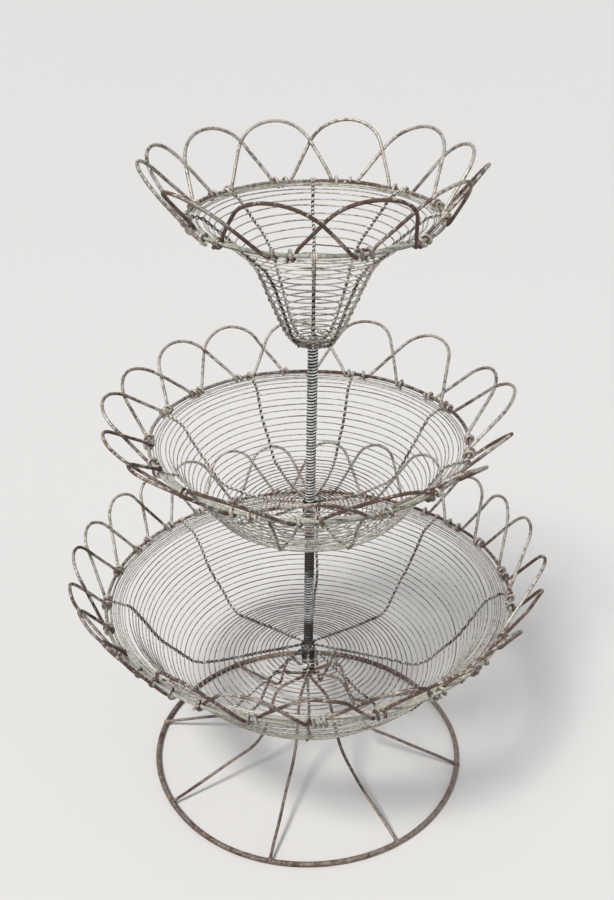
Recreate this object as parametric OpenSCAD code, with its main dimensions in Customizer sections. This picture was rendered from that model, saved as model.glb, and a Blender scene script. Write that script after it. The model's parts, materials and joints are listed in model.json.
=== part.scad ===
// Three-tier wirework basket stand.
// Three open wire bowls of growing size sit on one wire-wrapped post above a
// ring foot with eight bent legs. Origin: centre of the ring foot, on the table.

/* [Foot] */
// Radius of the ring foot, to the middle of its wire
foot_r = 150; // [135:1:170]
// Wire diameter of the ring foot
foot_d = 4.8; // [4:0.2:6]
// Depth of the worn flat under the ring foot
foot_flat = 0.3; // [0.2:0.1:0.6]
// Number of legs
leg_n = 8; // [8]
// Wire diameter of a leg
leg_d = 2.8; // [2.4:0.1:3]
// Direction of the first leg, in degrees
leg_turn = 33; // [0:1:44]

/* [Post] */
// Diameter of the straight rod inside the post
rod_d = 3.8; // [3:0.1:4.2]
// Diameter of the wire wound round the rod
wrap_d = 2.6; // [2:0.1:2.8]
// Distance between two turns of the winding
wrap_pitch = 2.7; // [2.6:0.1:2.9]
// Height at which the legs leave the post
hub_z = 98; // [94:1:102]

/* [Bottom bowl] */
// Radius of the bottom rim, to the middle of its wire
bot_r = 186; // [184:1:188]
// Height of the bottom rim
bot_z = 198; // [196:1:200]
// Number of loops on the bottom rim
bot_loops = 24; // [20:2:26]
// Number of fine ring wires in the bottom bowl
bot_rings = 42; // [30:1:46]

/* [Middle bowl] */
// Radius of the middle rim, to the middle of its wire
mid_r = 138; // [136:1:140]
// Height of the middle rim
mid_z = 357; // [355:1:359]
// Number of loops on the middle rim
mid_loops = 16; // [14:2:18]
// Number of fine ring wires in the middle bowl
mid_rings = 34; // [26:1:38]

/* [Top bowl] */
// Radius of the top rim, to the middle of its wire
top_r = 101; // [99:1:103]
// Height of the top rim
top_z = 553; // [551:1:555]
// Number of loops on the top rim
top_loops = 12; // [10:2:14]
// Number of fine ring wires in the top bowl
top_rings = 26; // [20:1:30]

/* [Wires] */
// Wire diameter of the three rims
rim_d = 3.0; // [2.6:0.1:3.2]
// Wire diameter of the loops
loop_d = 2.5; // [2.2:0.1:2.6]
// Wire diameter of one strand of a rib
strand_d = 1.1; // [0.9:0.1:1.2]
// Wire diameter of the fine rings
ring_d = 0.9; // [0.8:0.1:1]
// Foot spacing of a loop, as a multiple of the spacing of the loops
loop_spread = 1.55; // [1.45:0.05:1.6]
// Turn of each loop about its own middle, so that neighbours pass each other
loop_twist = 4.4; // [4.2:0.1:5]

/* [Hidden] */
$fn = 48;

// Side of a strand: a square bar with the cross-section area of the round wire
strand_w = strand_d * 0.886;

iron = [0.36, 0.31, 0.27];
rust = [0.42, 0.30, 0.22];
zinc = [0.60, 0.62, 0.56];
dark = [0.20, 0.19, 0.18];

// Height of the middle of the foot wire, with the worn flat on the table
foot_z = foot_d / 2 - foot_flat;
// Outside radius of the winding on the post
post_out = rod_d / 2 + wrap_d;
// Half of the gap between the two strands of a rib, where the rings pass
strand_off = (ring_d + strand_d) / 2 + 0.05;

// Bowl outlines, radius and height, from the rim to the post
bot_line = [[bot_r - 1.8, bot_z - 0.4], [166, 189], [140, 146], [108, 112], [8, 132.6]];
bot_bend = [0, 10, 80, 22, 0];
mid_line = [[mid_r - 1.8, mid_z - 0.4], [121, 350], [103, 320], [84, 292.5], [50, 285.5], [8, 290]];
mid_bend = [0, 8, 60, 18, 60, 0];
top_line = [[top_r - 1.8, top_z - 0.2], [88, 550.5], [50, 518], [24, 456], [14, 443], [5, 442]];
top_bend = [0, 10, 60, 14, 8, 0];
// Direction of the first rib of each bowl
bot_turn = 0;
mid_turn = 25;
top_turn = 0;
// Loop tips: distance out from the rim, and height above it
bot_tip = [28.5, 48];
mid_tip = [35, 37];
top_tip = [31.5, 45.6];
// Half width of each loop at its shoulders
bot_half = 15;
mid_half = 20.5;
top_half = 24;

// ---- geometry helpers ----
function unit(v) = v / norm(v);
function turn_of(u, v) = atan2(u[0] * v[1] - u[1] * v[0], u * v);
function left_of(u) = [-u[1], u[0]];
// Start, end, centre and turn of the bend at point i of a line
function bend_at(p, r, i) =
    let (u = unit(p[i] - p[i - 1]), v = unit(p[i + 1] - p[i]), t = turn_of(u, v),
         s = t >= 0 ? 1 : -1, k = r[i] * tan(abs(t) / 2),
         a = p[i] - u * k, b = p[i] + v * k, c = a + left_of(u) * r[i] * s)
    [a, b, c, t];
// The same line moved sideways by o
function moved(p, o) = [for (i = [0:len(p) - 1])
    i == 0 ? p[0] + left_of(unit(p[1] - p[0])) * o :
    i == len(p) - 1 ? p[i] + left_of(unit(p[i] - p[i - 1])) * o :
    let (u = unit(p[i] - p[i - 1]), v = unit(p[i + 1] - p[i]), t = turn_of(u, v))
    p[i] + unit(left_of(u) + left_of(v)) * o / cos(t / 2)];
// Bend radii that keep the moved line parallel
function moved_bends(p, r, o) = [for (i = [0:len(p) - 1])
    i == 0 || i == len(p) - 1 ? 0 :
    let (t = turn_of(p[i] - p[i - 1], p[i + 1] - p[i])) r[i] - o * sign(t)];
// Points along a line with round bends, about 14 degrees of turn apart
function walk(p, r) = concat([p[0]],
    [for (i = [1:len(p) - 2]) let (b = bend_at(p, r, i), s = b[0] - b[2], m = ceil(abs(b[3]) / 14))
        for (k = [0:m]) let (a = b[3] * k / m)
            b[2] + [s[0] * cos(a) - s[1] * sin(a), s[0] * sin(a) + s[1] * cos(a)]],
    [p[len(p) - 1]]);
function run(p, i = 0, acc = 0) = i >= len(p) - 1 ? [acc] :
    concat([acc], run(p, i + 1, acc + norm(p[i + 1] - p[i])));
function place(p, l, s, i = 0) = i >= len(p) - 2 || s <= l[i + 1] ?
    p[i] + (p[i + 1] - p[i]) * (s - l[i]) / (l[i + 1] - l[i]) : place(p, l, s, i + 1);
// Places of n rings along a bowl outline, closer together near the rim
function ring_places(p, r, n) = let (w = walk(p, r), l = run(w), t = l[len(l) - 1] - 6)
    [for (k = [0:n - 1]) let (f = k / (n - 1)) place(w, l, 3 + t * (0.72 * f + 0.28 * f * f))];

module wire_ring(r, d) { rotate_extrude($fn = 96) translate([r, 0]) circle(d = d); }
// The same with a six-sided section of the same area, for the many fine rings
module fine_ring(r, d) { rotate_extrude($fn = 96) translate([r, 0]) circle(d = d * 1.1, $fn = 6); }

// Sideways direction at each point of a path, lengthened so that the wire keeps its width in a turn
function sideways(w) = [for (i = [0:len(w) - 1])
    i == 0 ? left_of(unit(w[1] - w[0])) :
    i == len(w) - 1 ? left_of(unit(w[i] - w[i - 1])) :
    let (u = unit(w[i] - w[i - 1]), v = unit(w[i + 1] - w[i]), m = unit(left_of(u) + left_of(v)))
    m / (m * left_of(u))];
// Points round a wire that follows path w in one plane
function tube_points(w, d, sides) = let (m = sideways(w))
    [for (i = [0:len(w) - 1], j = [0:sides - 1]) let (a = (j + 0.5) * 360 / sides,
        q = w[i] + m[i] * cos(a) * d / 2) [q[0], q[1], sin(a) * d / 2]];
function tube_faces(n, sides, at = 0) = concat(
    [[for (j = [0:sides - 1]) at + j]],
    [for (i = [0:n - 2], j = [0:sides - 1]) let (k = (j + 1) % sides)
        [at + i * sides + j, at + (i + 1) * sides + j, at + (i + 1) * sides + k, at + i * sides + k]],
    [[for (j = [sides - 1:-1:0]) at + (n - 1) * sides + j]]);

// A wire bent in one plane
module bent_wire(p, r, d, sides) {
    w = walk(p, r);
    polyhedron(points = tube_points(w, d, sides), faces = tube_faces(len(w), sides), convexity = 6);
}

// Path of one arched loop in its own plane, from foot to foot
function arch(half_foot, high, half_top, below) =
    let (t = atan2(high, half_foot - half_top), r = half_top / tan(t / 2),
         leg = [half_top - half_foot, high] / norm([half_top - half_foot, high]),
         foot = [half_foot, 0] - leg * below)
    concat([foot], [for (k = [0:8]) let (a = t * (1 - k / 4)) [r * sin(a), high - r + r * cos(a)]],
        [[-foot[0], foot[1]]]);

// ---- bowls ----
module rim(r, z) { color(zinc) translate([0, 0, z]) wire_ring(r, rim_d); }

module loops(r, z, n, tip, half, turn) {
    a = loop_spread * 180 / n;
    in = r * cos(a);
    out = r + tip[0] - in;
    w = arch(r * sin(a), norm([out, tip[1]]), half, 1.2);
    color(iron) for (i = [0:n - 1]) rotate([0, 0, turn + i * 360 / n])
        translate([in, 0, z]) rotate([0, atan2(out, tip[1]), 0]) rotate([0, 0, loop_twist])
            rotate([90, 0, 90]) polyhedron(points = tube_points(w, loop_d, 6), faces = tube_faces(len(w), 6));
}

// Turns of each loop end round the rim
module loop_ends(r, z, n, turn) {
    a = loop_spread * 180 / n;
    step = asin((loop_d + 0.1) / r);
    color(iron) for (i = [0:n - 1], s = [-1, 1])
        rotate([0, 0, turn + i * 360 / n + s * (a + step)]) translate([r, 0, z])
            rotate([90, 0, 0]) wire_ring((rim_d + loop_d) / 2 + 0.05, loop_d);
}

// Turns of the rib strands round the rim, one each side of the rib
module rib_ties(r, z, turn) {
    step = asin((strand_d + 0.15) / r);
    color(iron) for (i = [0:7], s = [-1, 1])
        rotate([0, 0, turn + i * 45 + s * step]) translate([r, 0, z])
            rotate([90, 0, 0]) wire_ring((rim_d + strand_d) / 2 + 0.05, strand_d);
}

// One rib: an upper and a lower strand with the fine rings between them
module rib(line, bends, turn, i) {
    color(dark) rotate([0, 0, turn + (i - 1) * 45]) for (o = [-strand_off, strand_off]) {
        w = walk(moved(line, o), moved_bends(line, bends, o));
        m = sideways(w) * strand_w / 2;
        rotate([90, 0, 0]) linear_extrude(height = strand_w, center = true)
            polygon(concat(w + m, [for (k = [len(w) - 1:-1:0]) w[k] - m[k]]));
    }
}

module rings(line, bends, n, first, last) {
    places = ring_places(line, bends, n);
    color(iron) for (k = [first:last]) translate([0, 0, places[k][1]])
        fine_ring(places[k][0], ring_d);
}

// ---- foot and post ----
module foot_ring() {
    color(rust) difference() {
        translate([0, 0, foot_z]) wire_ring(foot_r, foot_d);
        translate([0, 0, -5]) cylinder(h = 5, r = foot_r + 20);
    }
}

// Upper end beside the rod, out under the bowl, down, and flared to the ring
module leg(i) {
    side = rod_d / 2 + leg_d / 2 + 0.7;
    out = foot_r - (foot_d + leg_d) / 2 * 0.82;
    line = [[side, hub_z + 26], [side, hub_z - 2], [36, hub_z - 3], [56, 38],
            [out - 2, foot_z + (foot_d + leg_d) / 2 * 0.55]];
    color(rust) rotate([0, 0, leg_turn + (i - 1) * 360 / leg_n]) rotate([90, 0, 0])
        bent_wire(line, [0, 3, 16, 9, 0], leg_d, 8);
}

module hub_lashing() {
    inner = rod_d / 2 + leg_d + 0.8;
    color(dark) for (k = [0:12]) translate([0, 0, hub_z + 5.4 + k * 1.4])
        wire_ring(inner + 0.65, 1.2);
}

module hub_solder() {
    color([0.75, 0.75, 0.72]) translate([0, -(rod_d / 2 + leg_d + 3), hub_z + 14]) sphere(d = 4.4);
}

module post_rod() { color(dark) translate([0, 0, hub_z - 6]) cylinder(h = 445 - hub_z + 6, d = rod_d); }

// Close winding: the turns touch and make one ribbed sleeve
module winding(z0, z1) {
    n = floor((z1 - z0 - wrap_d) / wrap_pitch);
    color(dark) translate([0, 0, z0 + wrap_d / 2]) rotate_extrude($fn = 64) {
        translate([rod_d / 2 + 0.05, -wrap_d / 4]) square([wrap_d * 0.55, n * wrap_pitch + wrap_d / 2]);
        for (k = [0:n]) translate([rod_d / 2 + wrap_d / 2 + 0.05, k * wrap_pitch]) circle(d = wrap_d, $fn = 24);
    }
}

// Turns of wire that bind a bowl to the post
module collar(z, n, r) {
    color(dark) for (k = [0:n - 1]) translate([0, 0, z + k * 1.7]) wire_ring(r, 1.6);
}

foot_ring();
leg(1);  // leg_1
leg(2);  // leg_2
leg(3);  // leg_3
leg(4);  // leg_4
leg(5);  // leg_5
leg(6);  // leg_6
leg(7);  // leg_7
leg(8);  // leg_8
hub_lashing();
hub_solder();
post_rod();
winding(134, 280);  // post_wrap_lower
winding(293, 440.5);  // post_wrap_upper
collar(126.2, 4, 8.2);  // bottom_collar
collar(281.3, 7, 5.9);  // middle_collar
collar(444.8, 3, 2.8);  // top_collar
rim(bot_r, bot_z);  // bottom_rim
loops(bot_r, bot_z, bot_loops, bot_tip, bot_half, 7.5);  // bottom_loops
loop_ends(bot_r, bot_z, bot_loops, 7.5);  // bottom_loop_ends
rib_ties(bot_r, bot_z, bot_turn);  // bottom_rib_ties
rings(bot_line, bot_bend, bot_rings, 0, floor(bot_rings * 0.58) - 1);  // bottom_wall_rings
rings(bot_line, bot_bend, bot_rings, floor(bot_rings * 0.58), bot_rings - 1);  // bottom_floor_rings
rib(bot_line, bot_bend, bot_turn, 1);  // bottom_rib_1
rib(bot_line, bot_bend, bot_turn, 2);  // bottom_rib_2
rib(bot_line, bot_bend, bot_turn, 3);  // bottom_rib_3
rib(bot_line, bot_bend, bot_turn, 4);  // bottom_rib_4
rib(bot_line, bot_bend, bot_turn, 5);  // bottom_rib_5
rib(bot_line, bot_bend, bot_turn, 6);  // bottom_rib_6
rib(bot_line, bot_bend, bot_turn, 7);  // bottom_rib_7
rib(bot_line, bot_bend, bot_turn, 8);  // bottom_rib_8
rim(mid_r, mid_z);  // middle_rim
loops(mid_r, mid_z, mid_loops, mid_tip, mid_half, 0);  // middle_loops
loop_ends(mid_r, mid_z, mid_loops, 0);  // middle_loop_ends
rib_ties(mid_r, mid_z, mid_turn);  // middle_rib_ties
rings(mid_line, mid_bend, mid_rings, 0, floor(mid_rings * 0.6) - 1);  // middle_wall_rings
rings(mid_line, mid_bend, mid_rings, floor(mid_rings * 0.6), mid_rings - 1);  // middle_floor_rings
rib(mid_line, mid_bend, mid_turn, 1);  // middle_rib_1
rib(mid_line, mid_bend, mid_turn, 2);  // middle_rib_2
rib(mid_line, mid_bend, mid_turn, 3);  // middle_rib_3
rib(mid_line, mid_bend, mid_turn, 4);  // middle_rib_4
rib(mid_line, mid_bend, mid_turn, 5);  // middle_rib_5
rib(mid_line, mid_bend, mid_turn, 6);  // middle_rib_6
rib(mid_line, mid_bend, mid_turn, 7);  // middle_rib_7
rib(mid_line, mid_bend, mid_turn, 8);  // middle_rib_8
rim(top_r, top_z);  // top_rim
loops(top_r, top_z, top_loops, top_tip, top_half, 15);
loop_ends(top_r, top_z, top_loops, 15);  // top_loop_ends
rib_ties(top_r, top_z, top_turn);  // top_rib_ties
rings(top_line, top_bend, top_rings, 0, top_rings - 5);  // top_wall_rings
rings(top_line, top_bend, top_rings, top_rings - 4, top_rings - 1);  // top_floor_rings
rib(top_line, top_bend, top_turn, 1);  // top_rib_1
rib(top_line, top_bend, top_turn, 2);  // top_rib_2
rib(top_line, top_bend, top_turn, 3);  // top_rib_3
rib(top_line, top_bend, top_turn, 4);  // top_rib_4
rib(top_line, top_bend, top_turn, 5);  // top_rib_5
rib(top_line, top_bend, top_turn, 6);  // top_rib_6
rib(top_line, top_bend, top_turn, 7);  // top_rib_7
rib(top_line, top_bend, top_turn, 8);  // top_rib_8
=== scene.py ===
"""Looks of the three-tier wirework basket stand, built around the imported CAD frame. Lengths are worked in millimetres and written in metres."""
import json
import math

import bpy
import numpy as np
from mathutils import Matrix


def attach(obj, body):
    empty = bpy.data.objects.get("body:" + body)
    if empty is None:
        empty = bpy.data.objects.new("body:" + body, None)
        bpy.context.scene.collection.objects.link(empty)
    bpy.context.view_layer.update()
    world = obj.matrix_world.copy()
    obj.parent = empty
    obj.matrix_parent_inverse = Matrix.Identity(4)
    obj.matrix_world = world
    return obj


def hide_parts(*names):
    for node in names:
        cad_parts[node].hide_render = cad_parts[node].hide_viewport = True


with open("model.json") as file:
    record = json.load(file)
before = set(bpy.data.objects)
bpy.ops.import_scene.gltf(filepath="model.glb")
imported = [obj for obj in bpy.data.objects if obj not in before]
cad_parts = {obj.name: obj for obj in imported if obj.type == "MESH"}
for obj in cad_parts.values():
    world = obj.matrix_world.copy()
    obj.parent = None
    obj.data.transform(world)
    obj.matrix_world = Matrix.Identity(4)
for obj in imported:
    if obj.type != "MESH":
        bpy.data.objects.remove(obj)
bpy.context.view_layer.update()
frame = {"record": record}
SLOT = {s["node"]: s["material_slot"] for s in frame["record"]["subparts"]}

ROD, WRAP, LEG, RIM, LOOP, STRAND, RING, FOOT = 3.9, 2.65, 2.9, 3.2, 2.9, 1.45, 1.05, 4.8
FOOT_R, FOOT_Z, HUB_Z = 150.0, 2.1, 98.0


# ------------------------------------------------------------------ small maths
def unit(v):
    v = np.asarray(v, float)
    return v / max(np.linalg.norm(v), 1e-12)


def wave(x, seed, kmin=1, kmax=7, turns=True):
    """A smooth random wave of about unit size. x is in radians round a ring, or a 0 to 1 length if turns is False."""
    g = np.random.default_rng(seed)
    x = np.asarray(x, float) * (1 if turns else 2 * math.pi)
    out = np.zeros_like(x)
    for k in range(kmin, kmax + 1):
        a = g.normal() / (k ** 0.7)
        out += a * np.sin(k * x + g.uniform(0, 2 * math.pi))
    return out / 1.4


def smooth(p, rounds, closed=False):
    p = np.array(p, float)
    for _ in range(rounds):
        if closed:
            p = 0.5 * p + 0.25 * (np.roll(p, 1, 0) + np.roll(p, -1, 0))
        else:
            p[1:-1] = 0.5 * p[1:-1] + 0.25 * (p[:-2] + p[2:])
    return p


def resample(p, step):
    p = np.asarray(p, float)
    l = np.r_[0, np.cumsum(np.linalg.norm(np.diff(p, axis=0), axis=1))]
    n = max(2, int(math.ceil(l[-1] / step)) + 1)
    s = np.linspace(0, l[-1], n)
    return np.stack([np.interp(s, l, p[:, k]) for k in range(p.shape[1])], 1)


def bent(p, r):
    """A line in a plane with round bends of radius r at its corners."""
    p = [np.array(q, float) for q in p]
    out = [p[0]]
    for i in range(1, len(p) - 1):
        u, v = unit(p[i] - p[i - 1]), unit(p[i + 1] - p[i])
        t = math.atan2(u[0] * v[1] - u[1] * v[0], u @ v)
        s = 1 if t >= 0 else -1
        k = r[i] * math.tan(abs(t) / 2)
        a = p[i] - u * k
        c = a + np.array([-u[1], u[0]]) * r[i] * s
        d = a - c
        for j in range(13):
            g = t * j / 12
            out.append(c + np.array([d[0] * math.cos(g) - d[1] * math.sin(g), d[0] * math.sin(g) + d[1] * math.cos(g)]))
    out.append(p[-1])
    return np.array(out)


# ------------------------------------------------------------------ wire meshes
class Wires:
    """Gathers round wires into one mesh, with a tone for each wire, a shade for grooves, and a map that unrolls each wire."""

    def __init__(self):
        self.v, self.f, self.tone, self.cav, self.strips, self.bloom = [], [], [], [], [], []
        self.n = 0

    def add(self, path, d, sides=8, closed=False, tone=0.5, centre=None, ref=None, ends="cut", swell=None, tone_wave=0.25, seed=0, bloom=0.5, shade=None):
        p = np.asarray(path, float)
        n = len(p)
        if closed:
            t = np.roll(p, -1, 0) - np.roll(p, 1, 0)
        else:
            t = np.gradient(p, axis=0)
        t /= np.maximum(np.linalg.norm(t, axis=1, keepdims=True), 1e-9)
        if ref is not None:
            a = np.broadcast_to(np.asarray(ref, float), p.shape)
            a = a - t * np.sum(a * t, 1, keepdims=True)
            a /= np.maximum(np.linalg.norm(a, axis=1, keepdims=True), 1e-9)
        else:
            a = np.empty_like(p)
            g = np.array([0, 0, 1.0]) if abs(t[0][2]) < 0.9 else np.array([1.0, 0, 0])
            cur = unit(g - t[0] * (g @ t[0]))
            for i in range(n):
                ti = t[i]
                cur = cur - ti * (cur[0] * ti[0] + cur[1] * ti[1] + cur[2] * ti[2])
                cur = cur / math.sqrt(cur[0] ** 2 + cur[1] ** 2 + cur[2] ** 2)
                a[i] = cur
        b = np.cross(t, a)
        r = np.full(n, d / 2.0)
        if swell is not None:
            r = r * swell
        ang = np.arange(sides) * 2 * math.pi / sides
        dirs = a[:, None, :] * np.cos(ang)[None, :, None] + b[:, None, :] * np.sin(ang)[None, :, None]
        verts = p[:, None, :] + dirs * r[:, None, None]
        length = np.r_[0, np.cumsum(np.linalg.norm(np.diff(p, axis=0), axis=1))]
        if not closed and ends == "cut":  # a cut end with its edge rounded off
            extra = d * 0.16
            first = p[0] - t[0] * extra + dirs[0] * r[0] * 0.72
            last = p[-1] + t[-1] * extra + dirs[-1] * r[-1] * 0.72
            verts = np.concatenate([first[None], verts, last[None]], 0)
            dirs = np.concatenate([dirs[:1], dirs, dirs[-1:]], 0)
            length = np.r_[-extra, length, length[-1] + extra]
            p = np.concatenate([p[:1], p, p[-1:]], 0)
        m = len(verts)

        def spread(x):
            x = np.asarray(x, float)
            if x.ndim == 0:
                return np.full(m, float(x))
            return x if len(x) == m else np.concatenate([x[:1], x, x[-1:]])

        base = self.n
        i = np.arange(m if closed else m - 1)[:, None]
        j = np.arange(sides)[None, :]
        k = (j + 1) % sides
        q = (i + 1) % m
        quads = np.stack([i * sides + j, i * sides + k, q * sides + k, q * sides + j], -1).reshape(-1, 4) + base
        self.f.append(quads)
        caps = [] if closed else [list(range(base + sides - 1, base - 1, -1)), list(range(base + (m - 1) * sides, base + m * sides))]
        self.v.append(verts.reshape(-1, 3))
        tw = spread(tone) + tone_wave * wave(length / max(length[-1], 1e-6), seed * 7 + 3, 1, 5, turns=False)
        self.bloom.append(np.repeat(np.clip(spread(bloom), 0, 1), sides))
        self.tone.append(np.repeat(np.clip(tw, 0, 1), sides))
        # painted shade: the sides of a wire that face the given centre line are darkened, as in a crevice between
        # strands
        if centre is not None:
            c = np.asarray(centre, float)
            if len(c) != len(p):
                c = np.concatenate([c[:1], c, c[-1:]], 0)
            to = c - p
            to /= np.maximum(np.linalg.norm(to, axis=1, keepdims=True), 1e-9)
            cav = np.clip(np.sum(dirs * to[:, None, :], 2) * 0.9 + 0.1, 0, 1)
        else:
            cav = np.zeros((m, sides))
        # painted shade passed in by the caller, such as where rib strands cross
        if shade is not None:
            cav = np.maximum(cav, spread(shade)[:, None])
        self.cav.append(cav.reshape(-1))
        self.strips.append((len(quads), m if closed else m - 1, sides, length, closed, caps))
        self.n += m * sides

    def blob(self, centre, size, seed=0, axis=None, tone=0.5, bumps=0.16):
        """A lump of solder or braze: a ball with smooth uneven bulges, stretched to size."""
        rows, cols = 10, 16
        v = []
        g = np.random.default_rng(seed)
        k = g.normal(size=(5, 3)) * 2.2
        ph = g.uniform(0, 6.28, 5)
        pts = [(0, 0, 1.0)]
        for i in range(1, rows):
            th = math.pi * i / rows
            for j in range(cols):
                f = 2 * math.pi * j / cols
                pts.append((math.sin(th) * math.cos(f), math.sin(th) * math.sin(f), math.cos(th)))
        pts.append((0, 0, -1.0))
        pts = np.array(pts)
        push = 1 + bumps * np.sin(pts @ k.T + ph).mean(1) * 1.6
        pts = pts * push[:, None] * np.asarray(size, float) / 2
        if axis is not None:
            x, y, z = axis
            pts = pts @ np.array([x, y, z])
        pts = pts + np.asarray(centre, float)
        base = self.n
        quads, tris = [], []
        for j in range(cols):
            tris.append([base, base + 1 + j, base + 1 + (j + 1) % cols])
            e = base + 1 + (rows - 2) * cols
            tris.append([e + (j + 1) % cols, e + j, base + len(pts) - 1])
        for i in range(rows - 2):
            for j in range(cols):
                a = base + 1 + i * cols
                quads.append([a + j, a + cols + j, a + cols + (j + 1) % cols, a + (j + 1) % cols])
        self.v.append(pts)
        self.f.append(np.array(quads))
        self.tone.append(np.full(len(pts), tone))
        self.bloom.append(np.full(len(pts), 0.5))
        self.cav.append(np.zeros(len(pts)))
        self.strips.append((len(quads), rows - 2, cols, np.linspace(0, size[2], rows - 1), "blob", tris))
        self.n += len(pts)

    def mesh(self, name):
        verts = np.concatenate(self.v) / 1000.0
        faces, uvs = [], []
        total = sum((s[3][-1] - s[3][0]) * 3.0 for s in self.strips)
        row = max(20.0, math.sqrt(total) * 1.02)
        rows = sum(int((s[3][-1] - s[3][0]) // row) + 1 for s in self.strips) + 1
        at = 0
        caps = []
        for quads, (nq, m, sides, length, closed, extra) in zip(self.f, self.strips):
            length = length - length[0]
            if closed is True:
                length = np.r_[length, length[-1] + (length[-1] / max(1, len(length) - 1))]
            start = length[:-1][:m]
            end = length[1:][:m]
            if len(start) < m:
                start = np.linspace(0, length[-1], m + 1)[:-1]
                end = np.linspace(0, length[-1], m + 1)[1:]
            r = (start // row).astype(int)
            u0 = (start - r * row) / (row * 1.03)
            u1 = np.minimum((end - r * row) / (row * 1.03), 1.0)
            if closed == "blob":
                u0, u1, r = np.linspace(0, .1, m + 1)[:-1], np.linspace(0, .1, m + 1)[1:], np.zeros(m, int)
            v0 = (at + r)[:, None] + 0.04 + 0.92 * np.arange(sides)[None, :] / sides
            v1 = v0 + 0.92 / sides
            v0, v1 = v0 / rows, v1 / rows
            u0, u1 = np.broadcast_to(u0[:, None], v0.shape), np.broadcast_to(u1[:, None], v0.shape)
            if closed == "blob":
                uv = np.stack([np.stack([u0, v0], -1), np.stack([u1, v0], -1), np.stack([u1, v1], -1), np.stack([u0, v1], -1)], 2)
            else:
                uv = np.stack([np.stack([u0, v0], -1), np.stack([u0, v1], -1), np.stack([u1, v1], -1), np.stack([u1, v0], -1)], 2)
            uvs.append(uv.reshape(-1, 2))
            for c in extra:
                k = len(c)
                cy = (at + 0.5) / rows
                caps.append((c, [(1.0 - 0.006 * (1 + math.cos(6.283 * q / k)), cy + 0.3 / rows * math.sin(6.283 * q / k)) for q in range(k)]))
            at += int(r.max()) + 1 if len(r) else 1
        quads = np.concatenate(self.f)
        loops = np.concatenate([quads.reshape(-1)] + [np.array(c) for c, _ in caps]) if caps else quads.reshape(-1)
        uv = np.concatenate(uvs + [np.array(u) for _, u in caps]) if caps else np.concatenate(uvs)
        sizes = np.r_[np.full(len(quads), 4), [len(c) for c, _ in caps]].astype(np.int32)
        me = bpy.data.meshes.new(name)
        me.vertices.add(len(verts))
        me.vertices.foreach_set("co", verts.astype(np.float32).reshape(-1))
        me.loops.add(len(loops))
        me.loops.foreach_set("vertex_index", loops.astype(np.int32))
        me.polygons.add(len(sizes))
        me.polygons.foreach_set("loop_start", np.r_[0, np.cumsum(sizes)[:-1]].astype(np.int32))
        me.polygons.foreach_set("loop_total", sizes)
        me.update(calc_edges=True)
        me.polygons.foreach_set("use_smooth", np.r_[np.ones(len(quads), bool), [len(c) < 5 for c, _ in caps]].astype(bool))
        layer = me.uv_layers.new(name="OFBake")
        layer.data.foreach_set("uv", np.clip(uv, 0, 1).astype(np.float32).reshape(-1))
        for key, arr in (("tone", self.tone), ("groove", self.cav), ("bloom", self.bloom)):
            at_ = me.attributes.new(key, "FLOAT", "POINT")
            at_.data.foreach_set("value", np.concatenate(arr).astype(np.float32))
        me.validate(verbose=False)
        me.update()
        return me


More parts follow.
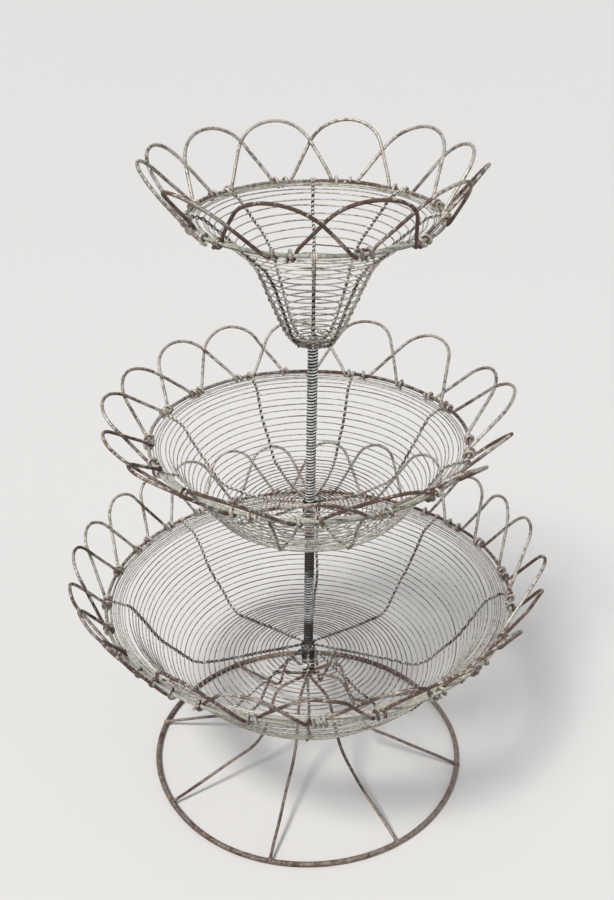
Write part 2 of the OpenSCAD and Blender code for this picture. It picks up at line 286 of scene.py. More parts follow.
# ------------------------------------------------------------------ materials
def aged_wire(name, tin, rust, patina, shade_and_pit, rust_at, patina_at, groove=0.7, metal=0.75, rough=(0.36, 0.82), bump=0.35, glint_amount=0.6, glint_colour=(0.66, 0.63, 0.56)):
    """Tin-coated iron wire: dulled coating, brown rust where it has worn through, pale bloom on upper faces, painted
    highlight flecks on upper faces, and painted shade in grooves with dark pits.
    """
    m = bpy.data.materials.new(name)
    m.use_nodes = True
    nt = m.node_tree
    nt.nodes.clear()
    N, L = nt.nodes.new, nt.links.new
    out, bsdf = N("ShaderNodeOutputMaterial"), N("ShaderNodeBsdfPrincipled")
    L(bsdf.outputs[0], out.inputs[0])
    tc = N("ShaderNodeTexCoord")

    def noise(scale, detail, rough_=0.6, distort=0.0, stretch=None):
        n = N("ShaderNodeTexNoise")
        n.inputs["Scale"].default_value = scale
        n.inputs["Detail"].default_value = detail
        n.inputs["Roughness"].default_value = rough_
        n.inputs["Distortion"].default_value = distort
        L(tc.outputs["Object"], n.inputs["Vector"])
        return n.outputs["Fac"]

    def attr(key):
        a = N("ShaderNodeAttribute")
        a.attribute_name = key
        return a.outputs["Fac"]

    def maths(op, a, b=None, clamp=False):
        n = N("ShaderNodeMath")
        n.operation, n.use_clamp = op, clamp
        for s, x in zip(n.inputs, (a, b)):
            if x is None:
                continue
            if isinstance(x, (int, float)):
                s.default_value = x
            else:
                L(x, s)
        return n.outputs[0]

    def ramp(x, lo, hi):
        n = N("ShaderNodeMapRange")
        n.interpolation_type = "SMOOTHSTEP"
        n.inputs["From Min"].default_value, n.inputs["From Max"].default_value = lo, hi
        L(x, n.inputs["Value"])
        return n.outputs["Result"]

    def mix(f, a, b, mode="MIX"):
        n = N("ShaderNodeMix")
        n.data_type, n.blend_type = "RGBA", mode
        for s, x in zip((n.inputs["Factor"], n.inputs["A"], n.inputs["B"]), (f, a, b)):
            if isinstance(x, (int, float)):
                s.default_value = x
            elif isinstance(x, tuple):
                s.default_value = (*x, 1)
            else:
                L(x, s)
        return n.outputs["Result"]

    tone, cav = attr("tone"), attr("groove")
    big, mid, fine = noise(38, 5, 0.62, 0.6), noise(210, 6, 0.68, 0.3), noise(1400, 4, 0.7)
    # rust: patches of 10 to 30 mm, more on some wires, broken up by fine speckle
    f = maths("ADD", maths("MULTIPLY", big, 0.62), maths("MULTIPLY", mid, 0.38))
    f = maths("ADD", f, maths("MULTIPLY", maths("SUBTRACT", tone, 0.5), 0.42))
    f = maths("ADD", f, maths("MULTIPLY", maths("SUBTRACT", fine, 0.5), 0.22))
    is_rust = ramp(f, rust_at, rust_at + 0.14)
    coat = mix(ramp(mid, 0.38, 0.62), tuple(c * 0.50 for c in tin), tuple(min(1, c * 1.30) for c in tin))
    rusty = mix(ramp(maths("ADD", maths("MULTIPLY", fine, 0.5), maths("MULTIPLY", mid, 0.5)), 0.40, 0.60), tuple(c * 0.45 for c in rust), tuple(min(1, c * 1.35) for c in rust))
    col = mix(is_rust, coat, rusty)
    # pale bloom, mostly on the upper side
    geo = N("ShaderNodeNewGeometry")
    sep = N("ShaderNodeSeparateXYZ")
    L(geo.outputs["Normal"], sep.inputs[0])
    up = maths("MULTIPLY", maths("ADD", sep.outputs["Z"], 0.9), 0.12)
    p = maths("ADD", maths("MULTIPLY", noise(90, 6, 0.7, 0.8), 0.8), up)
    p = maths("ADD", p, maths("MULTIPLY", maths("SUBTRACT", attr("bloom"), 0.5), 0.5))
    p = maths("ADD", p, maths("MULTIPLY", maths("SUBTRACT", fine, 0.5), 0.35))
    is_patina = ramp(p, patina_at, patina_at + 0.16)
    bloom = mix(ramp(mid, 0.35, 0.65), tuple(c * 0.8 for c in patina), tuple(min(1, c * 1.15) for c in patina))
    col = mix(is_patina, col, bloom)
    # painted highlight: pale flecks, mostly on the upper side
    k = maths("ADD", maths("MULTIPLY", noise(300, 4, 0.65, 0.4), 0.82), maths("MULTIPLY", maths("ADD", sep.outputs["Z"], 1.0), 0.07))
    k = maths("SUBTRACT", k, maths("MULTIPLY", maths("SUBTRACT", tone, 0.5), 0.14))
    # painted highlight mask, stronger on upward-facing normals
    painted_glint = maths("MULTIPLY", ramp(k, 0.50, 0.57), glint_amount)
    col = mix(painted_glint, col, glint_colour)
    # painted shade in the grooves between strands and turns, and dark pits
    g = maths("MULTIPLY", ramp(cav, 0.05, 0.75), groove)
    pits = maths("MULTIPLY", ramp(noise(700, 3, 0.6), 0.62, 0.74), 0.55)
    g = maths("MAXIMUM", g, pits)
    col = mix(g, col, shade_and_pit)
    L(col, bsdf.inputs["Base Color"])
    dull = maths("MAXIMUM", maths("MAXIMUM", is_rust, is_patina), g, True)
    L(maths("MULTIPLY", maths("SUBTRACT", 1.0, dull, True), metal), bsdf.inputs["Metallic"])
    r = maths("ADD", maths("MULTIPLY", dull, rough[1] - rough[0] - 0.1), rough[0])
    r = maths("ADD", r, maths("MULTIPLY", mid, 0.2), True)
    L(r, bsdf.inputs["Roughness"])
    h = maths("ADD", maths("MULTIPLY", mid, 0.5), maths("MULTIPLY", fine, 0.5))
    h = maths("ADD", h, maths("MULTIPLY", dull, 0.35))
    bn = N("ShaderNodeBump")
    bn.inputs["Strength"].default_value = bump
    bn.inputs["Distance"].default_value = 0.00025
    L(h, bn.inputs["Height"])
    L(bn.outputs[0], bsdf.inputs["Normal"])
    return m


# colour of painted groove shade and of dark pits
SHADE_AND_PIT = (0.020, 0.016, 0.013)
MATS = {
    "rusty_wire": aged_wire("iron_rusty", (0.230, 0.178, 0.145), (0.080, 0.047, 0.034), (0.30, 0.25, 0.21), SHADE_AND_PIT, 0.44, 0.68, metal=0.5, glint_amount=0.35, glint_colour=(0.40, 0.34, 0.29)),
    # post wire: near-black painted shade between turns, the pale coat left only on the crowns
    "post_wire": aged_wire("iron_post", (0.84, 0.84, 0.80), (0.060, 0.053, 0.048), (0.62, 0.63, 0.59), (0.003, 0.003, 0.003), 0.55, 0.72, groove=0.995, metal=0.5, rough=(0.30, 0.7), glint_amount=0.25, glint_colour=(0.80, 0.79, 0.75)),
    "rim_wire": aged_wire("tin_rim", (0.270, 0.247, 0.208), (0.095, 0.054, 0.038), (0.250, 0.262, 0.210), SHADE_AND_PIT, 0.46, 0.61, metal=0.4, glint_amount=0.45, glint_colour=(0.60, 0.60, 0.52)),
    "loop_wire": aged_wire("tin_loops", (0.272, 0.230, 0.192), (0.085, 0.048, 0.034), (0.37, 0.36, 0.305), SHADE_AND_PIT, 0.46, 0.65, metal=0.42, glint_amount=0.52, glint_colour=(0.68, 0.64, 0.57)),
    # rib wire: near-black painted shade between the twisted strands and at their crossings
    "rib_wire": aged_wire("iron_ribs", (0.58, 0.52, 0.45), (0.090, 0.058, 0.044), (0.58, 0.56, 0.50), (0.004, 0.0035, 0.003), 0.52, 0.62, groove=0.99, metal=0.4, glint_amount=0.6, glint_colour=(0.74, 0.70, 0.63)),
    "fine_wire": aged_wire("tin_fine", (0.33, 0.292, 0.25), (0.115, 0.068, 0.048), (0.46, 0.455, 0.40), SHADE_AND_PIT, 0.51, 0.62, metal=0.4, rough=(0.3, 0.75), glint_amount=0.55, glint_colour=(0.70, 0.68, 0.61)),
    "solder": aged_wire("solder", (0.93, 0.93, 0.90), (0.80, 0.78, 0.74), (0.95, 0.95, 0.92), (0.5, 0.49, 0.46), 0.95, 0.50, groove=0.2, metal=0.05, rough=(0.28, 0.6), bump=0.5, glint_amount=0.5, glint_colour=(0.96, 0.96, 0.94)),
}

made = {}


def piece(node, wires):
    o = bpy.data.objects.new(node + "_wire", wires.mesh(node + "_wire"))
    bpy.context.scene.collection.objects.link(o)
    o.data.materials.append(MATS[SLOT[node]])
    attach(o, "root")
    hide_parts(node)
    made[node] = o
    return o


# ------------------------------------------------------------------ the bowls
TIERS = {
    "bottom": dict(
        r=186.0, z=196.5, c0=1.3, c1=1.0, tilt=(0.020, -0.026), n=24, tip_z=244.5, half=15.0, span=11.6,
        line=[(184.2, 196.2), (166, 188), (140, 146), (108, 112), (5.2, 132.6)], bend=[0, 10, 80, 22, 0],
        tips=[(14, 211), (25, 207), (35, 208), (55, 215), (69, 214), (84, 211), (101, 209), (113, 212), (127, 211), (140, 212),
              (150, 213), (165, 213), (179, 213), (197, 216), (207, 216), (224, 218), (241, 214), (257, 216), (273, 217), (292, 220),
              (304, 221), (322, 216), (338, 213), (354, 212)],
        feet=[(-5, 22.8), (9, 34), (25.8, 48), (40, 67), (57, 81.5), (72, 96), (90, 112.7), (101, 126.4), (115.9, 138.7), (129.5, 149),
              (141.8, 167), (157, 182), (170, 196), (187.5, 208), (199.5, 219), (211.5, 232), (227, 254.5), (243, 270), (258, 286), (275, 302),
              (289.5, 317), (307, 331), (324, 349), (337, 364)],
        ribs=[357, 44, 86, 135, 184, 226, 270, 313],
        rings=[3.0, 7.0, 11.0, 15.5, 20.0, 24.8, 29.8, 35.0, 40.2, 45.6, 51.0, 56.6, 62.0, 67.6, 73.0, 78.5, 84.0, 89.5, 95.0, 100.4,
               105.6, 110.8, 116.0, 121.2, 126.4, 131.4, 136.4, 141.2, 146.0, 150.8, 155.4, 160.0, 164.6, 169.0, 173.4, 177.8, 182.0,
               186.2, 190.4, 194.6, 198.8, 203.0], wall=24, extra=[1.7, 5.0, 9.0, 13.2]),
    "middle": dict(
        r=138.0, z=357.0, c0=2.7, c1=2.0, tilt=(0.0, 0.0), n=16, tip_z=393.0, half=20.5, span=17.7,
        line=[(136.2, 356.6), (121, 350), (103, 320), (84, 292.5), (50, 285.5), (5.0, 290.3)], bend=[0, 8, 60, 18, 60, 0],
        tips=[(11, 179), (26, 176), (52, 183), (74, 184), (95, 176), (115, 181), (135, 176), (157, 173), (180, 175), (202, 179),
              (224, 182), (247, 177), (274, 173), (299, 173), (321, 175), (342, 173)],
        feet=[(-12, 22), (0, 34.5), (28, 66.5), (52.5, 88.5), (75.5, 113), (101, 136.5), (121, 156), (143, 180), (162, 198), (188, 222),
              (207, 243), (226.5, 265), (252, 291), (275, 312), (298, 330), (318, 347.5)],
        ribs=[26, 72, 114, 161, 207, 253.5, 292, 341],
        rings=[4.2, 8.8, 13.1, 17.6, 22.2, 29.0, 34.5, 40.2, 46.5, 52.6, 58.6, 64.0, 69.4, 75.0, 80.4, 85.4, 90.2, 95.0, 99.6, 104.0,
               108.4, 112.8, 117.2, 121.4, 125.6, 129.8, 133.8, 137.8, 141.6, 145.4, 149.2, 152.8], wall=18, extra=[2.0, 6.4]),
    "top": dict(
        r=101.0, z=553.0, c0=5.0, c1=7.0, tilt=(0.0, 0.0), n=12, tip_z=598.6, half=24.0, span=23.2,
        line=[(99.2, 552.8), (88, 550.5), (50, 518), (25, 458), (17, 446.5), (4.2, 445)], bend=[0, 10, 60, 14, 8, 0],
        tips=[(20, 129), (52, 137), (79, 136), (105, 130), (134, 131), (164, 134), (191, 136), (227, 141), (259, 135), (292, 128),
              (324, 128), (350, 130)],
        feet=[(-1, 40), (19, 71), (51, 103), (82, 134), (112, 162.5), (149, 188), (168, 213), (203, 250), (226, 286), (261.5, 315),
              (294, 349), (325, 371)],
        ribs=[1, 44, 91, 137, 181, 224, 269, 315],
        rings=[3.4, 7.1, 12.0, 16.5, 22.7, 28.8, 36.2, 43.6, 50.9, 58.6, 65.6, 72.6, 79.0, 85.6, 92.2, 98.6, 105.0, 111.2, 117.2,
               122.4, 127.4, 131.8, 135.8, 139.6, 143.6], wall=21, extra=[1.6, 5.4]),
}


class Bowl:
    def __init__(self, name, seed):
        self.name, self.t, self.seed = name, TIERS[name], seed
        w = bent(self.t["line"], self.t["bend"])
        self.len = np.r_[0, np.cumsum(np.linalg.norm(np.diff(w, axis=0), axis=1))]
        self.w = w

    def outline(self, s):
        s = np.asarray(s, float)
        return np.stack([np.interp(s, self.len, self.w[:, 0]), np.interp(s, self.len, self.w[:, 1])], -1)

    def put(self, r, z, a):
        """Place of a point at radius r, height z and angle a, with the bowl's lean off its post and its tilt."""
        t = self.t
        r, z, a = np.broadcast_arrays(np.asarray(r, float), z, a)
        k = np.clip(r / t["r"], 0, 1.2)
        f = np.clip((r / t["r"] - 0.66) / 0.30, 0, 1)
        f = -0.5 + 1.5 * f * f * (3 - 2 * f)  # the rim tilts, and the body under it the other way
        x = r * np.cos(a) + t["c0"] + (t["c1"] - t["c0"]) * k
        y = r * np.sin(a)
        return np.stack([x, y, z + f * (t["tilt"][0] * x + t["tilt"][1] * y)], -1)

    def rim(self, a):
        a = np.asarray(a, float)
        return self.put(self.t["r"] + 0.55 * wave(a, self.seed + 1, 2, 9), self.t["z"] + 0.5 * wave(a, self.seed + 2, 2, 9), a)

    def ring(self, k, a, s=None):
        a = np.asarray(a, float)
        s = self.t["rings"][k] if s is None else s
        q = self.outline(s)
        small = min(1.0, q[0] / 60)
        r = q[0] + small * 0.42 * wave(a, self.seed * 50 + k * 3 + 5, 2, 11)
        z = q[1] + small * 0.42 * wave(a, self.seed * 50 + k * 3 + 6, 2, 11)
        return self.put(r, z, a)


def helix_round_rim(bowl, a0, th0, turns, sign_th, side, rc, pitch, per_turn=18, loose=0.0):
    """Turns of a wire round the rim, from angle th0 in the rim's cross-section, moving along the rim to side."""
    n = int(per_turn * turns)
    th = th0 + sign_th * np.linspace(0, turns * 2 * math.pi, n)
    adv = np.linspace(0, turns, n) * pitch / bowl.t["r"] * side
    a = a0 + adv
    c = bowl.rim(a)
    er = np.stack([np.cos(a), np.sin(a), np.zeros_like(a)], -1)
    rc = (rc + loose * np.linspace(0, 1, n) ** 1.6)[:, None]
    return c + rc * (er * np.cos(th)[:, None] + np.array([0, 0, 1.0]) * np.sin(th)[:, None])


def loops(bowl):
    """Arched loops: each foot comes down beside the rim, one outside it and one inside, and coils round it."""
    t = bowl.t
    body, coils = Wires(), Wires()
    rc = (RIM + LOOP) / 2 + 0.06
    step = 1.0
    feet = t["feet"]
    many = len(feet)
    gaps = [((feet[(i + 2) % many][0] - feet[i][1] + 180) % 360 - 180) * math.pi / 180 * t["r"] for i in range(many)]
    for i, (az, tr) in enumerate(t["tips"]):
        g = np.random.default_rng(bowl.seed * 1000 + i)
        mid = sum(feet[i]) / 2
        off = (az - mid + 180) % 360 - 180
        a = math.radians(mid + 0.35 * off)
        a_l, a_r = math.radians(feet[i][0]), math.radians(feet[i][1])
        fr, fl = bowl.rim(a_r), bowl.rim(a_l)
        tip = bowl.put(tr, t["tip_z"] + g.uniform(-1, 1), a)
        c0 = (fr + fl) / 2
        lat = unit(fr - fl)
        hs = np.linalg.norm(fr - fl) / 2
        sl = tip - c0
        high = np.linalg.norm(sl)
        sl = sl / high
        nrm = unit(np.cross(lat, sl))
        rad = np.array([math.cos(a), math.sin(a), 0])
        if nrm @ rad < 0:
            nrm = -nrm
        half = t["half"] * g.uniform(0.95, 1.06)
        tt = math.atan2(high, hs - half)
        R = half / math.tan(tt / 2)
        skew = g.uniform(-0.035, 0.035)
        arc = [(R * math.sin(q), high - R + R * math.cos(q)) for q in np.linspace(tt, -tt, 30)]
        start, end = arc[0], arc[-1]
        leg1 = [(hs + (start[0] - hs) * f, start[1] * f) for f in np.linspace(0, 1, 14)[:-1]]
        leg2 = [(-hs + (end[0] + hs) * f, end[1] * f) for f in np.linspace(1, 0, 14)[1:]]
        pts = np.array(leg1 + arc + leg2)
        f = np.linspace(0, 1, len(pts))
        bow = 0.55 * wave(f, bowl.seed * 999 + i, 1, 3, turns=False) * np.sin(math.pi * f)
        bow2 = 0.7 * wave(f, bowl.seed * 998 + i, 1, 3, turns=False) * np.sin(math.pi * f)
        x = pts[:, 0] + skew * pts[:, 1] * np.sin(math.pi * f) + bow2
        w = rc * np.clip(pts[:, 0] / hs, -1, 1) + bow
        P = c0 + x[:, None] * lat + pts[:, 1][:, None] * sl + w[:, None] * nrm
        lean = math.atan2(sl @ rad, sl[2])
        turns_r, turns_l = g.uniform(1.1, 1.5), g.uniform(1.1, 1.5)
        pitch_r, pitch_l = (float(np.clip((gap - 1.2) / 2.9, LOOP * 1.06, 4.8)) for gap in (gaps[i], gaps[i - 2]))
        cr = helix_round_rim(bowl, a_r, -lean, turns_r, -1, 1, rc, pitch_r, loose=g.uniform(0.4, 1.3))
        cl = helix_round_rim(bowl, a_l, math.pi - lean, turns_l, 1, -1, rc, pitch_l, loose=g.uniform(0.4, 1.3))
        whole = np.concatenate([cr[::-1], P[1:-1], cl])
        nr, nl = len(cr), len(cl)
        sm = smooth(whole, 3)
        keep_r, keep_l = nr - 6, len(whole) - nl + 6
        whole[nr - 6:nr + 6] = sm[nr - 6:nr + 6]
        j = len(whole) - nl
        whole[j - 6:j + 6] = sm[j - 6:j + 6]
        whole = smooth(whole, 1)
        cut_r, cut_l = nr - 3, len(whole) - nl + 3
        tone = float(np.clip(0.48 - 0.30 * math.sin(a) + g.normal() * 0.12, 0, 0.92))
        body.add(resample(whole[cut_r:cut_l], step), LOOP, 10, tone=tone, seed=i + bowl.seed * 31, ends="open", bloom=0.42 + 0.16 * math.sin(a))
        coils.add(resample(whole[:cut_r + 1], step * 0.7), LOOP, 10, tone=tone * 0.75, bloom=0.7, seed=i * 2 + bowl.seed * 37)
        coils.add(resample(whole[cut_l - 1:], step * 0.7), LOOP, 10, tone=tone * 0.75, bloom=0.7, seed=i * 2 + 1 + bowl.seed * 37)
    piece(bowl.name + "_loops", body)
    piece(bowl.name + "_loop_ends", coils)


def rim(bowl):
    w = Wires()
    a = np.linspace(0, 2 * math.pi, 361)[:-1]
    w.add(bowl.rim(a), RIM, 12, closed=True, ref=(0, 0, 1), seed=bowl.seed, tone=0.56 + 0.24 * np.sin(a + 0.4), bloom=0.5 - 0.48 * np.sin(a))
    piece(bowl.name + "_rim", w)


RING_TONE = {"bottom": (0.50, 0.92), "middle": (0.32, 0.78), "top": (0.26, 0.6)}  # walls, floors


def rings(bowl):
    n = 216
    a = np.linspace(0, 2 * math.pi, n + 1)[:-1]
    for node, ks in ((bowl.name + "_wall_rings", range(0, bowl.t["wall"])), (bowl.name + "_floor_rings", range(bowl.t["wall"], len(bowl.t["rings"])))):
        w = Wires()
        for k in ks:
            g = np.random.default_rng(bowl.seed * 77 + k)
            m = a if bowl.outline(bowl.t["rings"][k])[0] > 45 else a[::2]
            w.add(bowl.ring(k, m), RING * (1.2 if bowl.name == "top" else 1.0) * g.uniform(0.94, 1.06), 6, closed=True, ref=(0, 0, 1), tone=RING_TONE[bowl.name][node.endswith("floor_rings")] + float(g.normal() * 0.10) + 0.16 * np.sin(m), seed=k + bowl.seed * 13,
                  bloom=0.42 - 0.16 * np.sin(m))
        for q, s in enumerate(bowl.t["extra"] if node.endswith("wall_rings") else []):  # a few more, close to the rim
            w.add(bowl.ring(60 + q, a, s), RING, 6, closed=True, ref=(0, 0, 1), tone=0.42, seed=q + bowl.seed * 29, bloom=0.55 - 0.2 * np.sin(a))
        piece(node, w)


def ribs(bowl):
    """Each rib is two strands twisted half a turn between one fine ring and the next, so that they cross over and hold every ring."""
    t = bowl.t
    ties = Wires()
    rc = (RIM + STRAND) / 2 + 0.04
    for i, az in enumerate(t["ribs"]):
        w = Wires()
        g = np.random.default_rng(bowl.seed * 500 + i)
        a0 = math.radians(az)
        total = bowl.len[-1]
        ks = np.array([0.0] + list(t["rings"]) + [total])
        drift = lambda s: a0 + math.radians(0.9) * wave(np.asarray(s) / total, bowl.seed * 60 + i, 1, 3, turns=False) * np.sin(math.pi * np.clip(np.asarray(s) / total, 0, 1))
        at = [bowl.put(*bowl.outline(0.0), drift(0.0))]
        for k in range(len(t["rings"])):
            at.append(bowl.ring(k, drift(t["rings"][k])))
        at.append(bowl.put(*bowl.outline(total), drift(total)))
        at = np.array(at)
        halves = [max(1, int(round((ks[j + 1] - ks[j]) / 4.6))) for j in range(len(ks) - 1)]
        halves[-1] = max(halves[-1], 3)
        pts, psi, near = [], [], []
        turn = 0.0
        for j in range(len(ks) - 1):
            m = 9 * halves[j]
            for q in range(m):
                f = q / m
                s = ks[j] + (ks[j + 1] - ks[j]) * f
                pts.append(at[j] + (at[j + 1] - at[j]) * f)
                psi.append(turn + math.pi * halves[j] * f)
                gap = ks[j + 1] - ks[j]
                near.append(math.exp(-(min(f, 1 - f) * gap / 1.25) ** 2))
            turn += math.pi * halves[j]
        pts.append(at[-1]); psi.append(turn); near.append(0.0)
        pts, psi, near = np.array(pts), np.array(psi), np.array(near)
        pts = smooth(pts, 4)
        tan = np.gradient(pts, axis=0)
        tan /= np.linalg.norm(tan, axis=1, keepdims=True)
        side = np.array([-math.sin(a0), math.cos(a0), 0.0])
        nor = np.cross(side, tan)
        nor /= np.linalg.norm(nor, axis=1, keepdims=True)
        near[:3] = 0
        mag_n = STRAND / 2 + 0.01 + near * (RING / 2)
        off = np.cos(psi)[:, None] * mag_n[:, None] * nor + np.sin(psi)[:, None] * (STRAND / 2 + 0.01) * side
        tone = float(np.clip(0.44 - 0.2 * math.sin(a0) + g.normal() * 0.12, 0, 1))
        if bowl.name == "bottom":
            tone = min(1.0, tone + 0.22)
        crossing_shade_depth = g.uniform(0.35, 0.72) if bowl.name != "bottom" else g.uniform(0.3, 0.66)
        for sgn in (1, -1):
            p = pts + sgn * off
            # the start goes round the rim: one strand over it, the other under it
            th0 = math.pi / 2 if (off[0][2] * sgn) > 0 else -math.pi / 2
            spin = -1 if th0 > 0 else 1
            coil = helix_round_rim(bowl, a0 + spin * 0.4 / t["r"], th0, 1.35 + g.uniform(0, 0.4), spin, -spin, rc, STRAND * 1.15, 16)
            p = p[4:]
            joined = np.concatenate([coil[::-1], p])
            sm = smooth(joined, 3)
            k = len(coil)
            joined[k - 5:k + 5] = sm[k - 5:k + 5]
            centre = pts[4:]
            # painted shade where the two strands of a rib cross over each other
            crossing_shade = np.clip(1.1 * np.abs(np.sin(psi[4:])) ** 2.2, 0, 1) * crossing_shade_depth
            w.add(joined[k - 1:], STRAND, 8, tone=tone, centre=np.concatenate([joined[k - 1:k], centre]), seed=i * 2 + (sgn > 0) + bowl.seed * 17, shade=np.r_[0, crossing_shade])
            ties.add(joined[:k + 1], STRAND, 8, tone=tone, seed=i * 2 + (sgn > 0) + bowl.seed * 19)
        piece("%s_rib_%d" % (bowl.name, i + 1), w)
    piece(bowl.name + "_rib_ties", ties)


bowls = {n: Bowl(n, s) for n, s in (("bottom", 11), ("middle", 23), ("top", 37))}
for b in bowls.values():
    rim(b)
    loops(b)
    rings(b)
    ribs(b)


# ------------------------------------------------------------------ post and foot
def lean(z):
    return np.interp(z, [0, 98, 131, 291, 443, 470], [0.5, 1.0, 1.3, 2.7, 5.0, 5.3])


def coil(z0, z1, r, d, pitch, seed, wobble=0.0, per_turn=22, tone=0.5, sides=12, taper=0.0, crown=0.93, bloom=0.5):
    """A wire wound round the post from z0 to z1."""
    turns = (z1 - z0) / pitch
    n = int(turns * per_turn)
    f = np.linspace(0, 1, n)
    th = 2 * math.pi * turns * f + seed
    z = z0 + (z1 - z0) * f + wobble * wave(f * 3, seed + 5, 3, 9, turns=False)
    rr = r + wobble * 0.5 * wave(f * 2, seed + 6, 3, 11, turns=False) + taper * f
    p = np.stack([lean(z) + rr * np.cos(th), rr * np.sin(th), z], -1)
    er = np.stack([np.cos(th), np.sin(th), np.zeros(n)], -1)
    w = Wires()
    w.add(p, d, sides, tone=tone, ref=er, seed=seed, tone_wave=0.2, bloom=bloom)
    # painted shade in the grooves: the sides of each turn that face the next one, leaving only the outward crown
    # unshaded
    verts = np.concatenate(w.v)
    m = len(verts) // sides
    cz = np.repeat(verts.reshape(m, sides, 3).mean(1), sides, 0)
    nn = verts - cz
    nn /= np.maximum(np.linalg.norm(nn, axis=1, keepdims=True), 1e-9)
    out = cz[:, :2] - np.stack([lean(cz[:, 2]), np.zeros(len(cz))], -1)
    out /= np.maximum(np.linalg.norm(out, axis=1, keepdims=True), 1e-9)
    facing = np.sum(nn[:, :2] * out, 1)
    w.cav = [np.clip(3.4 * (crown - facing) + 0.05, 0, 1)]
    return w


piece("post_wrap_lower", coil(134.6, 280.2, ROD / 2 + WRAP / 2, WRAP, 2.82, 3, 0.10, tone=0.93, bloom=0.2, crown=0.955))
piece("post_wrap_upper", coil(293.0, 443.2, ROD / 2 + WRAP / 2, WRAP, 2.86, 8, 0.10, tone=0.36, bloom=0.5, crown=0.955))
# crown 1.0 leaves almost no unshaded crown, so the lashing carries painted shade nearly all round
piece("hub_lashing", coil(102.6, 126.5, 5.75, 1.1, 1.36, 5, 0.5, tone=1.1, bloom=0.0, crown=1.0))
piece("bottom_collar", coil(127.4, 133.0, 6.2, 1.3, 1.45, 6, 0.3, tone=0.85, bloom=0.1))
piece("middle_collar", coil(280.6, 292.4, 5.9, 1.6, 1.72, 7, 0.22, tone=0.8, bloom=0.2))
piece("top_collar", coil(446.2, 451.0, 3.0, 1.6, 1.75, 9, 0.1, tone=0.5))

rod = Wires()
z = np.linspace(HUB_Z - 4, 451.5, 60)
rod.add(np.stack([lean(z), np.zeros(60), z], -1), ROD, 14, seed=4, ref=(1, 0, 0))
piece("post_rod", rod)

ring = Wires()
a = np.linspace(0, 2 * math.pi, 361)[:-1]
zw = FOOT / 2 + 0.10 + 0.10 * (1 + np.clip(wave(a, 71, 2, 6), -1, 2))
weld = 1 + 0.10 * np.exp(-((a - 2.1) / 0.012) ** 2)
ring.add(np.stack([0.5 + (FOOT_R + 0.6 * wave(a, 70, 2, 6)) * np.cos(a), (FOOT_R + 0.6 * wave(a, 70, 2, 6)) * np.sin(a), zw], -1), FOOT, 16, closed=True, ref=(0, 0, 1), swell=weld, seed=70)
piece("foot_ring", ring)

LEG_AZ = [33, 78, 122, 167, 211, 257, 303, 349.5]
for i, az in enumerate(LEG_AZ):
    g = np.random.default_rng(600 + i)
    a0 = math.radians(az)
    side = 3.78
    kx, kz = 56 + g.uniform(-4, 4), 38 + g.uniform(-4, 4)
    top = HUB_Z - 1 + g.uniform(-1.6, 1.6)
    line = [(side, 124), (side, top), (35 + g.uniform(-2, 3), top - 3), (kx, kz), (148.6, FOOT_Z + FOOT / 2 + LEG / 2 - 0.4), (152.0, FOOT_Z + FOOT / 2 + LEG / 2 - 0.7)]
    q = resample(bent(line, [0, 3, 16, 34, 3, 0]), 1.6)
    f = np.linspace(0, 1, len(q))
    out = np.clip((q[:, 0] - 10) / 60, 0, 1)
    sideways = 0.9 * wave(f, 620 + i, 1, 4, turns=False) * np.sin(math.pi * np.clip(q[:, 0] / 150, 0, 1))
    er, et = np.array([math.cos(a0), math.sin(a0), 0]), np.array([-math.sin(a0), math.cos(a0), 0])
    P = q[:, :1] * er + sideways[:, None] * et
    P[:, 2] = q[:, 1] + out * 0.3 * wave(f, 640 + i, 1, 4, turns=False)
    P[:, 0] += np.interp(q[:, 0], [0, 30, 150], [float(lean(105)), 0.8, 0.5])
    w = Wires()
    w.add(P, LEG, 12, seed=80 + i, tone=float(np.clip(0.5 + g.normal() * 0.2, 0, 1)), tone_wave=0.3)
    # braze where the leg lies on the ring
    end = P[-1] - er * 2.4
    w.blob(end + np.array([0, 0, -1.0]), (6.6, 4.6, 2.6), seed=90 + i, axis=(er, et, np.array([0, 0, 1.0])), tone=0.6, bumps=0.2)
    piece("leg_%d" % (i + 1), w)

sol = Wires()
tip_up = (unit((1.0, 0, 0.42)), np.array([0, 1.0, 0]), unit((-0.42, 0, 1.0)))
sol.blob((float(lean(112)) - 3.0, -8.0, 112.4), (11.5, 4.2, 4.6), seed=5, tone=0.3, bumps=0.3, axis=tip_up)
sol.blob((float(lean(112)) - 6.4, -7.0, 110.0), (5.0, 3.6, 3.6), seed=6, tone=0.3, bumps=0.3)
piece("hub_solder", sol)

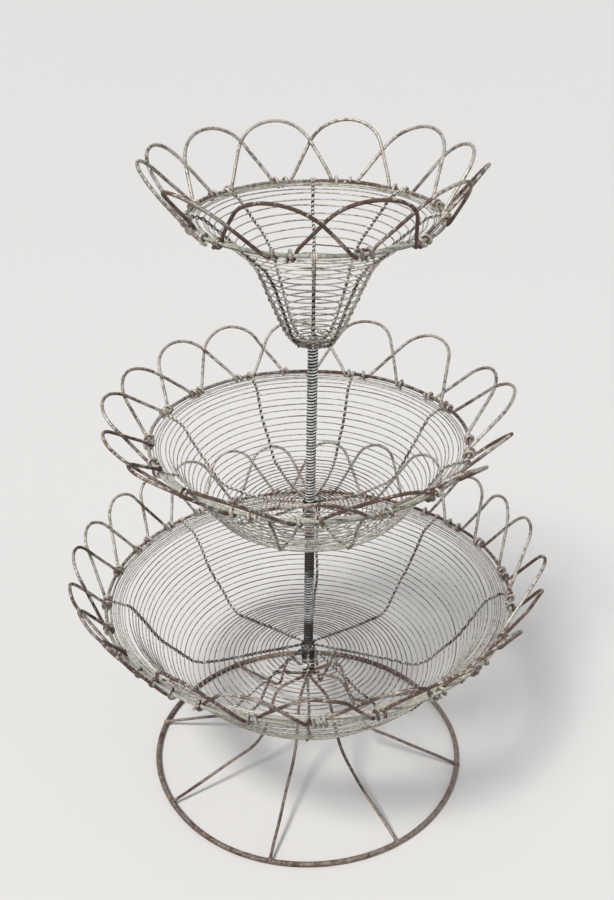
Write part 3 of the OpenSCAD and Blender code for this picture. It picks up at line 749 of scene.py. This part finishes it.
# ------------------------------------------------------------------ floor, light and camera
def stage_material():
    m = bpy.data.materials.new("floor_pale")
    m.use_nodes = True
    nt = m.node_tree
    b = nt.nodes["Principled BSDF"]
    n = nt.nodes.new("ShaderNodeTexNoise")
    n.inputs["Scale"].default_value = 3.0
    mx = nt.nodes.new("ShaderNodeMix")
    mx.data_type = "RGBA"
    mx.inputs["A"].default_value = (0.66, 0.65, 0.635, 1)
    mx.inputs["B"].default_value = (0.69, 0.68, 0.665, 1)
    nt.links.new(n.outputs["Fac"], mx.inputs["Factor"])
    nt.links.new(mx.outputs["Result"], b.inputs["Base Color"])
    b.inputs["Roughness"].default_value = 0.85
    return m


me = bpy.data.meshes.new("floor")
me.from_pydata([(-12, -8, 0), (12, -8, 0), (12, 22, 0), (-12, 22, 0)], [], [(0, 1, 2, 3)])
floor = bpy.data.objects.new("floor", me)
floor.data.materials.append(stage_material())
bpy.context.scene.collection.objects.link(floor)


def area(name, loc, target, size, power, color=(1, 1, 1)):
    l = bpy.data.lights.new(name, "AREA")
    l.shape, l.size, l.energy, l.color = "DISK", size, power, color
    o = bpy.data.objects.new(name, l)
    o.location = loc
    from mathutils import Vector
    o.rotation_euler = (Vector(target) - Vector(loc)).to_track_quat("-Z", "Y").to_euler()
    bpy.context.scene.collection.objects.link(o)
    return o


def sun(name, az, el, power, angle, color=(1, 1, 1)):
    l = bpy.data.lights.new(name, "SUN")
    l.energy, l.angle, l.color = power, math.radians(angle), color
    o = bpy.data.objects.new(name, l)
    o.rotation_euler = (math.radians(90 - el), 0, math.radians(az))
    bpy.context.scene.collection.objects.link(o)


sun("key", -38, 56, 2.8, 12, (1, 0.985, 0.96))
sun("fill", 62, 30, 0.25, 40, (0.96, 0.98, 1))
area("front", (-0.5, -1.6, 1.9), (0, 0, 0.3), 0.7, 6)
world = bpy.data.worlds.new("studio")
world.use_nodes = True
world.node_tree.nodes["Background"].inputs[0].default_value = (0.93, 0.95, 1.0, 1)
world.node_tree.nodes["Background"].inputs[1].default_value = 0.42
bpy.context.scene.world = world

cam = bpy.data.cameras.new("camera")
cam.sensor_width = 36.0
cam.lens = 36.0 * 1123.8 / 900.0
cam.clip_start, cam.clip_end = 0.05, 60
cob = bpy.data.objects.new("camera", cam)
cob.location = (0.0, -0.860, 0.8093)
cob.rotation_euler = (math.radians(90 - 28.41), 0, 0)
bpy.context.scene.collection.objects.link(cob)
bpy.context.scene.camera = cob
bpy.context.scene.view_settings.view_transform = "Standard"
